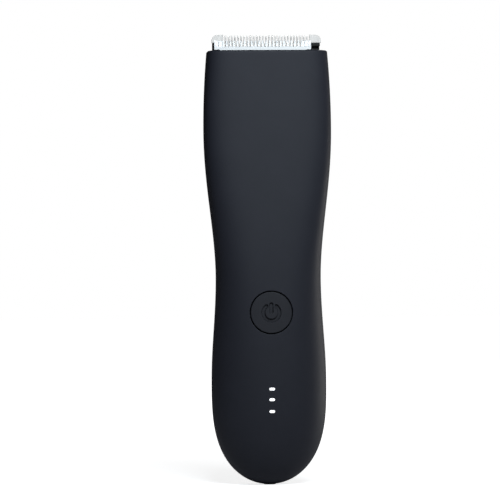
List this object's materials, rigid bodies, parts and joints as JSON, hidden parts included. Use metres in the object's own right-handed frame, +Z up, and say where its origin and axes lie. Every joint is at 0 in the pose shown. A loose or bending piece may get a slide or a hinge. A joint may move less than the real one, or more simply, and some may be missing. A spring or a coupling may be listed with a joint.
{
  "type": "body groomer",
  "caption": "Slim upright hair trimmer for the body: rounded black soft-touch casing with a waist, a round power button, charge lights and a pull-off head with a comb and a sliding cutter.",
  "frame": {"origin": "centre of the mouth of the charging socket, in the middle of the rounded lower end", "axes": "+Z runs up the body to the blades, -Y points out of the face with the power button, +X is to the viewer's right when facing the button"},
  "size_m": [0.0454, 0.028, 0.1605],
  "materials": {
    "soft_touch_black": "soft-touch matte",
    "button_black": "soft-touch matte",
    "seal_black": "matte",
    "light_white": "translucent, frosted",
    "black_plastic": "fine moulded",
    "grey_plastic": "fine moulded",
    "white_plastic": "satin",
    "ceramic_white": "polished ceramic",
    "blade_steel": "ground",
    "screw_steel": "machined",
    "motor_steel": "plated",
    "bronze": "sintered",
    "contact_brass": "plated",
    "board_green": "solder mask",
    "cell_wrap": "shrink wrap",
    "led_body": "phosphor",
    "wire_jacket": "satin"
  },
  "bodies": {
    "casing": {"front_shell": "soft_touch_black", "rear_shell": "soft_touch_black", "shell_seal": "seal_black", "button_seal": "seal_black", "switch_body": "black_plastic", "circuit_board": "board_green", "board_screws": "screw_steel", "status_leds": "led_body", "light_guide": "light_white", "battery_cell": "cell_wrap", "battery_contacts": "screw_steel", "chassis": "grey_plastic", "chassis_screws": "screw_steel", "motor_can": "motor_steel", "motor_end_cap": "white_plastic", "motor_terminals": "contact_brass", "motor_bearing": "bronze", "motor_screws": "screw_steel", "drive_seal": "seal_black", "bulkhead": "grey_plastic", "head_seal": "seal_black", "head_clips": "screw_steel", "charging_socket": "black_plastic", "charging_contact": "contact_brass", "port_ring": "seal_black", "charging_leads": "wire_jacket", "motor_leads": "wire_jacket"},
    "button": {"power_button": "button_black", "switch_plunger": "white_plastic"},
    "rotor": {"motor_shaft": "screw_steel", "eccentric_drive": "white_plastic"},
    "head": {"head_housing": "black_plastic", "comb_blade": "blade_steel", "blade_screws": "screw_steel", "tension_spring": "screw_steel"},
    "cutter": {"cutter_blade": "ceramic_white", "cutter_carrier": "grey_plastic"}
  },
  "joints": [
    {"name": "button_press", "type": "slide", "parent": "casing", "child": "button", "axis": [0, 1, 0], "range_m": [0, 0.0005], "stiffness_N_per_m": 4000},
    {"name": "motor_spin", "type": "hinge", "parent": "casing", "child": "rotor", "pos_m": [0, -0.0004, 0.12], "axis": [0, 0, 1], "continuous": true},
    {"name": "head_pull", "type": "slide", "parent": "casing", "child": "head", "axis": [0, 0, 1], "range_m": [0, 0.022]},
    {"name": "cutter_stroke", "type": "slide", "parent": "head", "child": "cutter", "axis": [1, 0, 0], "range_m": [0, 0.0028]}
  ]
}
